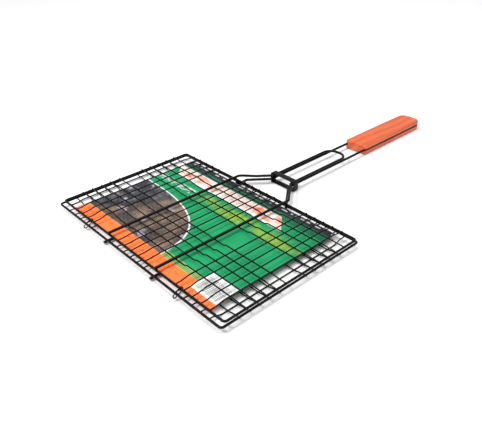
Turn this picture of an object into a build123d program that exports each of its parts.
"""Hinged grill basket: two welded wire grids that close on the food, on one long handle.

The basket lies level. +X runs along the handle towards the grip, +Z is up, and the origin is
under the middle of the whole length, on the surface that the closed basket rests on.
"""

import os
from math import atan2, cos, degrees, hypot, sin

from build123d import *

os.makedirs("parts", exist_ok=True)

# Wire diameters
rail_wire = 4.0  # the frame around each grid
mesh_wire = 2.2  # the wires that hold the food
handle_wire = 5.0  # the two handle wires and the rods they run on as
link_wire = 1.8  # the hinge rings

# The basket, which is the lower grid
basket_width = 445.0  # across the handle, outside its frame
basket_length = 288.0  # along the handle, outside its frame
frame_corner = 5.0  # bend radius of the frames, at the middle of the wire
side_depth = 7.9  # how far the two side fields hang below the frame
middle_depth = 6.0  # the same for the field between the rods

# The lid, which is the upper grid
lid_inset_hinge = 8.0  # its hinge rail lies this far inside the basket's
lid_inset_side = 2.0
lid_inset_front = 2.0
frame_gap = 0.6  # between the closed frames
lid_side_rise = 6.0
lid_middle_rise = 4.4

# The mesh. Lengthwise wires lie in three groups and crosswise wires in two. The wires of a side
# group are spread evenly over what its two margins leave, and all others are a pitch apart.
mesh_pitch = 19.1
wires_in_group = 5
basket_side_margins = (27.3, 51.8)  # from the side rail, and from the rod, to the nearest wire
lid_side_margins = (28.3, 48.8)
basket_cross_margins = (71.5, 81.0)  # from the hinge rail, and from the front rail, to a group's middle
lid_cross_margins = (75.0, 71.0)
wire_lap = 0.2  # how far a mesh wire reaches past the middle of the rail it is welded to
mesh_bend = 5.0
step_inset = 9.0  # from a rail to where a mesh wire bends away from it
step_run = 15.0  # length of that bent step along the wire
weld_gap = 0.01  # the wires touch without sharing any space

# The rods, and the strips where the mesh dips to pass inside them
rod_spread = 65.0  # from the middle line to each rod
dip_inner_reach = 8.0  # from a rod to where its strip ends towards the middle line
dip_sharp_reach = 20.0  # from the right rod to where its strip ends outwards
dip_gentle_reach = 29.0  # the same at the left rod
dip_run = 6.0  # length of the slopes at the strips' ends
gentle_run = 18.0  # the same beyond the left strip

# Handle wires
basket_rod_nub = 2.5  # the lower rods stand past the hinge rail
lid_rod_nub = 1.0
basket_arm_start = -1.0  # from the front rail to the bend where an arm leaves its rod
lid_arm_start = 5.0
arm_run = 51.0  # along the handle from there to the knee, where the arm meets its leg
basket_slope = (5.0, 14.0)  # from the front rail to both ends of the arm's slope to the leg's height
lid_slope = (12.0, 30.0)
arm_bend = 8.0
slope_bend = 6.0
leg_height = 1.7  # of the lower pair of legs, above the frame
leg_gap = 0.3  # between the two pairs of legs
loop_length = 165.0  # from the knee of the lid's wire to the end of its loop
loop_flat = 3.5  # half of the straight between the loop's two bends

# Wooden grip
grip_gap = 56.0  # from the end of the lid's loop to the grip
grip_length = 205.0
grip_width = 50.6
grip_thickness = 20.0
grip_corner = 16.0
grip_chamfer = 2.5
groove_clearance = 0.1
groove_cover = 0.3  # how far the wire lies inside the grip's side

# Locking ring, a loose band of strip around all four legs, which stands on the surface
band_width = 12.5
band_thickness = 1.6
band_clearance = 0.3  # over the upper legs
band_side_clearance = 3.4
band_lift = 0.2  # above the surface
band_corner = 1.5
band_offset = 6.0  # from the knee of the lid's wire to the middle of the band

# Hinge rings, loose loops around both hinge rails
link_offset = 0.15  # outwards from the middle of the gap between mesh wires that a ring lies in
link_clearance = 0.4
link_slack = 3.6

# Printed card between the grids
card_thickness = 0.4
card_hinge_margin = 13.0  # from each rail of the basket's frame to the card's edge
card_front_margin = 8.0
card_left_margin = 31.0
card_right_margin = 38.0
card_clearance = 0.3
card_corner = 1.0

# Radii and heights that follow
rail_r = rail_wire / 2
mesh_r = mesh_wire / 2
handle_r = handle_wire / 2
rim_z = side_depth + mesh_r
lid_z = rim_z + rail_wire + frame_gap
lower_leg_z = rim_z + leg_height
upper_leg_z = lower_leg_z + handle_wire + leg_gap

# Rail middles and the handle's places, in a frame whose X starts at the basket's hinge rail
half_width = basket_width / 2 - rail_r
front_rail = basket_length - rail_wire
lid_half_width = half_width - lid_inset_side
lid_front_rail = front_rail - lid_inset_front
lid_knee = front_rail + lid_arm_start + arm_run
loop_end = lid_knee + loop_length
grip_start = loop_end + grip_gap
leg_spread = grip_width / 2 - groove_cover - handle_r

# The link between the hinge rails
link_reach = hypot(lid_inset_hinge, lid_z - rim_z)
link_angle = atan2(lid_z - rim_z, lid_inset_hinge)
link_inner = rail_r + link_clearance
link_middle = link_inner + link_wire / 2
link_overhang = link_slack * cos(link_angle) + link_middle + link_wire / 2

# The origin lies under the middle of the whole length
grip_end = grip_start + grip_length
hinge_x = (link_overhang - grip_end) / 2
lid_hinge_x = hinge_x + lid_inset_hinge


def save(piece, name):
    """Label one finished piece and write it under its name."""
    piece.label = name
    export_step(piece, f"parts/{name}.step")


def bent_wire(points, bend, diameter, closed=False):
    """One round wire along straight runs joined by bends."""
    with BuildPart() as wire:
        with BuildLine() as route:
            FilletPolyline(*points, radius=bend, close=closed)
        with BuildSketch(Plane(origin=route.line @ 0, z_dir=route.line % 0)):
            Circle(diameter / 2)
        sweep()
    return wire


def frame_route(x_low, x_high, half, z):
    """The corners of one frame, at the middle of its wire."""
    return [(x_low, half, z), (x_high, half, z), (x_high, -half, z), (x_low, -half, z)]


def spread(low, high):
    """Where the wires of one group lie when they fill a stretch evenly."""
    pitch = (high - low) / (wires_in_group - 1)
    return [low + pitch * i for i in range(wires_in_group)]


def lengthwise_route(y, x_low, x_high, rail_z, depth, outward):
    """A mesh wire from hinge rail to front rail, bent away from both to reach its field."""
    end_z = rail_z + outward * (rail_r + mesh_r + weld_gap)
    field_z = rail_z + outward * depth
    return [
        (x_low - wire_lap, y, end_z),
        (x_low + step_inset, y, end_z),
        (x_low + step_inset + step_run, y, field_z),
        (x_high - step_inset - step_run, y, field_z),
        (x_high - step_inset, y, end_z),
        (x_high + wire_lap, y, end_z),
    ]


def crosswise_route(x, half, rail_z, depth, middle, outward):
    """A mesh wire from side to side, inside the lengthwise wires and inside the rods."""
    layer = mesh_wire + weld_gap
    end_z = rail_z + outward * (rail_r + mesh_r + weld_gap)
    field_z = rail_z + outward * (depth - layer)
    middle_z = rail_z + outward * (middle - layer)
    dip_z = rail_z + outward * (rail_r - mesh_r)
    step = half - step_inset
    dip_inner = rod_spread - dip_inner_reach
    dip_sharp = rod_spread + dip_sharp_reach
    dip_gentle = rod_spread + dip_gentle_reach
    return [
        (x, half + wire_lap, end_z),
        (x, step, end_z),
        (x, step - step_run, field_z),
        (x, dip_gentle + gentle_run, field_z),
        (x, dip_gentle, dip_z),
        (x, dip_inner, dip_z),
        (x, dip_inner - dip_run, middle_z),
        (x, dip_run - dip_inner, middle_z),
        (x, -dip_inner, dip_z),
        (x, -dip_sharp, dip_z),
        (x, -dip_sharp - dip_run, field_z),
        (x, step_run - step, field_z),
        (x, -step, end_z),
        (x, -half - wire_lap, end_z),
    ]


def grid(name, x_low, x_high, half, rail_z, depth, middle, outward, side_wires, cross_margins):
    """The frame of one grid and its mesh wires, every wire a piece of its own."""
    frame = bent_wire(frame_route(x_low, x_high, half, rail_z), frame_corner, rail_wire, True)
    save(frame.part, f"{name}_frame")
    reach = mesh_pitch * (wires_in_group - 1) / 2

    places = [(y, depth) for y in reversed(side_wires)]
    places += [(y, middle) for y in reversed(spread(-reach, reach))]
    places += [(-y, depth) for y in side_wires]
    for number, (y, field) in enumerate(places, 1):
        route = lengthwise_route(y, x_low, x_high, rail_z, field, outward)
        wire = bent_wire(route, mesh_bend, mesh_wire)
        save(wire.part, f"{name}_lengthwise_wire_{number:02d}")

    places = []
    for group in (x_low + cross_margins[0], x_high - cross_margins[1]):
        places += spread(group - reach, group + reach)
    for number, x in enumerate(places, 1):
        route = crosswise_route(x, half, rail_z, depth, middle, outward)
        wire = bent_wire(route, mesh_bend, mesh_wire)
        save(wire.part, f"{name}_crosswise_wire_{number:02d}")


def handle_route(start, rod_z, arm_start, slope, leg_z, end):
    """A rod along the grid, an arm in to the leg, the leg, and the same again coming back."""
    arm_x = hinge_x + front_rail + arm_start
    inward = (rod_spread - leg_spread) / arm_run
    slope_y = [rod_spread - inward * (reach - arm_start) for reach in slope]
    side = [
        (start, rod_spread, rod_z),
        (arm_x, rod_spread, rod_z),
        (hinge_x + front_rail + slope[0], slope_y[0], rod_z),
        (hinge_x + front_rail + slope[1], slope_y[1], leg_z),
        (arm_x + arm_run, leg_spread, leg_z),
        (end, leg_spread, leg_z),
    ]
    return side + [(x, -y, z) for x, y, z in reversed(side)]


def handle_bends(end_bend):
    """The bends along that route, with the two at its far end in the middle."""
    side = [arm_bend, slope_bend, slope_bend, arm_bend]
    return side + [end_bend, end_bend] + side


# Where the side wires of both grids lie, from the rod outwards
basket_side_wires = spread(rod_spread + basket_side_margins[1], half_width - basket_side_margins[0])
lid_side_wires = spread(rod_spread + lid_side_margins[1], lid_half_width - lid_side_margins[0])

# Both grids
grid(
    "basket", hinge_x, hinge_x + front_rail, half_width, rim_z,
    side_depth, middle_depth, -1, basket_side_wires, basket_cross_margins,
)
grid(
    "lid", lid_hinge_x, hinge_x + lid_front_rail, lid_half_width, lid_z,
    lid_side_rise, lid_middle_rise, 1, lid_side_wires, lid_cross_margins,
)

# The basket's handle wire: rods under the grid, legs, and a bend around the far end of the grip
rod_drop = rail_r + handle_r + weld_gap
wire_end = hinge_x + grip_end - groove_cover - handle_r
end_bend = grip_corner - groove_cover - handle_r
basket_rod_start = hinge_x - rail_r - basket_rod_nub
basket_route = handle_route(
    basket_rod_start, rim_z - rod_drop, basket_arm_start, basket_slope, lower_leg_z, wire_end
)
basket_handle_wire = bent_wire(basket_route, handle_bends(end_bend), handle_wire)
save(basket_handle_wire.part, "basket_handle_wire")

# The lid's handle wire: rods over the grid and a shorter loop on top of the legs
lid_rod_start = lid_hinge_x - rail_r - lid_rod_nub
loop_bend = leg_spread - loop_flat
lid_route = handle_route(
    lid_rod_start, lid_z + rod_drop, lid_arm_start, lid_slope, upper_leg_z, hinge_x + loop_end
)
lid_handle_wire = bent_wire(lid_route, handle_bends(loop_bend), handle_wire)
save(lid_handle_wire.part, "lid_handle_wire")

# The grip: a wooden block with a groove around both sides and the far end
groove_r = handle_r + groove_clearance
grip_middle = hinge_x + grip_start + grip_length / 2
with BuildPart() as wooden_grip:
    with BuildSketch(Plane((grip_middle, 0, 0))):
        Rectangle(grip_length, grip_width)
    extrude(amount=grip_thickness)
    far_corners = wooden_grip.edges().filter_by(Axis.Z).group_by(Axis.X)[-1]
    fillet(far_corners, grip_corner)
    rims = wooden_grip.faces().sort_by(Axis.Z)
    chamfer(rims[0].edges() + rims[-1].edges(), grip_chamfer)

    with BuildSketch(Plane((grip_middle, 0, lower_leg_z - groove_r))):
        Rectangle(grip_length * 2, grip_width * 2)
        with BuildLine():
            inner_start = (hinge_x + grip_start - grip_length - grip_middle, leg_spread)
            inner_far = (wire_end - grip_middle, leg_spread)
            corners = [inner_start, inner_far, (inner_far[0], -leg_spread), (inner_start[0], -leg_spread)]
            FilletPolyline(*corners, radius=[end_bend, end_bend])
            Line(corners[-1], corners[0])
        make_face(mode=Mode.SUBTRACT)
    extrude(amount=2 * groove_r, mode=Mode.SUBTRACT)

    with BuildLine() as groove_route:
        groove_start = hinge_x + grip_start - groove_r
        ends = [(groove_start, leg_spread), (wire_end, leg_spread)]
        points = ends + [(x, -y) for x, y in reversed(ends)]
        FilletPolyline(*[(x, y, lower_leg_z) for x, y in points], radius=[end_bend, end_bend])
    with BuildSketch(Plane(origin=groove_route.line @ 0, z_dir=groove_route.line % 0)):
        Circle(groove_r)
    sweep(mode=Mode.SUBTRACT)
save(wooden_grip.part, "wooden_grip")

# The locking ring: its window reaches from just above the surface to just over the upper legs
window_low = band_lift + band_thickness
window_high = upper_leg_z + handle_r + band_clearance
window_height = window_high - window_low
window_width = 2 * (leg_spread + handle_r + band_side_clearance)
band_plane = Plane(
    origin=(hinge_x + lid_knee + band_offset, 0, (window_low + window_high) / 2),
    x_dir=(0, 1, 0),
    z_dir=(1, 0, 0),
)
with BuildPart() as locking_ring:
    with BuildSketch(band_plane):
        outer_corner = band_corner + band_thickness
        RectangleRounded(
            window_width + 2 * band_thickness, window_height + 2 * band_thickness, outer_corner
        )
        RectangleRounded(window_width, window_height, band_corner, mode=Mode.SUBTRACT)
    extrude(amount=band_width / 2, both=True)
save(locking_ring.part, "locking_ring")

# The hinge rings: each loop holds both hinge rails, with some slack below the lower one. It lies
# between the first two side wires, clear of the ends of both grids' wires
gap_inner = max(basket_side_wires[0], lid_side_wires[0])
gap_outer = min(basket_side_wires[1], lid_side_wires[1])
link_spread = (gap_inner + gap_outer) / 2 + link_offset
for side, label in ((1, "left"), (-1, "right")):
    link_plane = Plane(
        origin=(hinge_x, side * link_spread, rim_z),
        x_dir=(cos(link_angle), 0, sin(link_angle)),
        z_dir=(0, -1, 0),
    )
    with BuildPart() as hinge_ring:
        with BuildLine(link_plane) as loop:
            Line((-link_slack, -link_middle), (link_reach, -link_middle))
            CenterArc((link_reach, 0), link_middle, -90, 180)
            Line((link_reach, link_middle), (-link_slack, link_middle))
            CenterArc((-link_slack, 0), link_middle, 90, 180)
        with BuildSketch(Plane(origin=loop.line @ 0, z_dir=loop.line % 0)):
            Circle(link_wire / 2)
        sweep()
    save(hinge_ring.part, f"hinge_ring_{label}")

# The printed card rests on the crosswise wires where they pass over the lower rods
card_z = rim_z - rail_r + mesh_wire + card_clearance
card_length = front_rail - card_hinge_margin - card_front_margin
card_width = 2 * half_width - card_left_margin - card_right_margin
card_x = hinge_x + card_hinge_margin + card_length / 2
card_y = (card_right_margin - card_left_margin) / 2
with BuildPart() as printed_card:
    with BuildSketch(Plane((card_x, card_y, card_z))):
        RectangleRounded(card_length, card_width, card_corner)
    extrude(amount=card_thickness)
save(printed_card.part, "printed_card")

print(f"hinge rail at x {hinge_x:.3f}, z {rim_z:.3f}; lid rail at x {lid_hinge_x:.3f}, z {lid_z:.3f}")
print(f"link angle {degrees(link_angle):.3f} degrees, overhang {link_overhang:.3f}")
print(f"overall length {grip_end + link_overhang:.3f}")
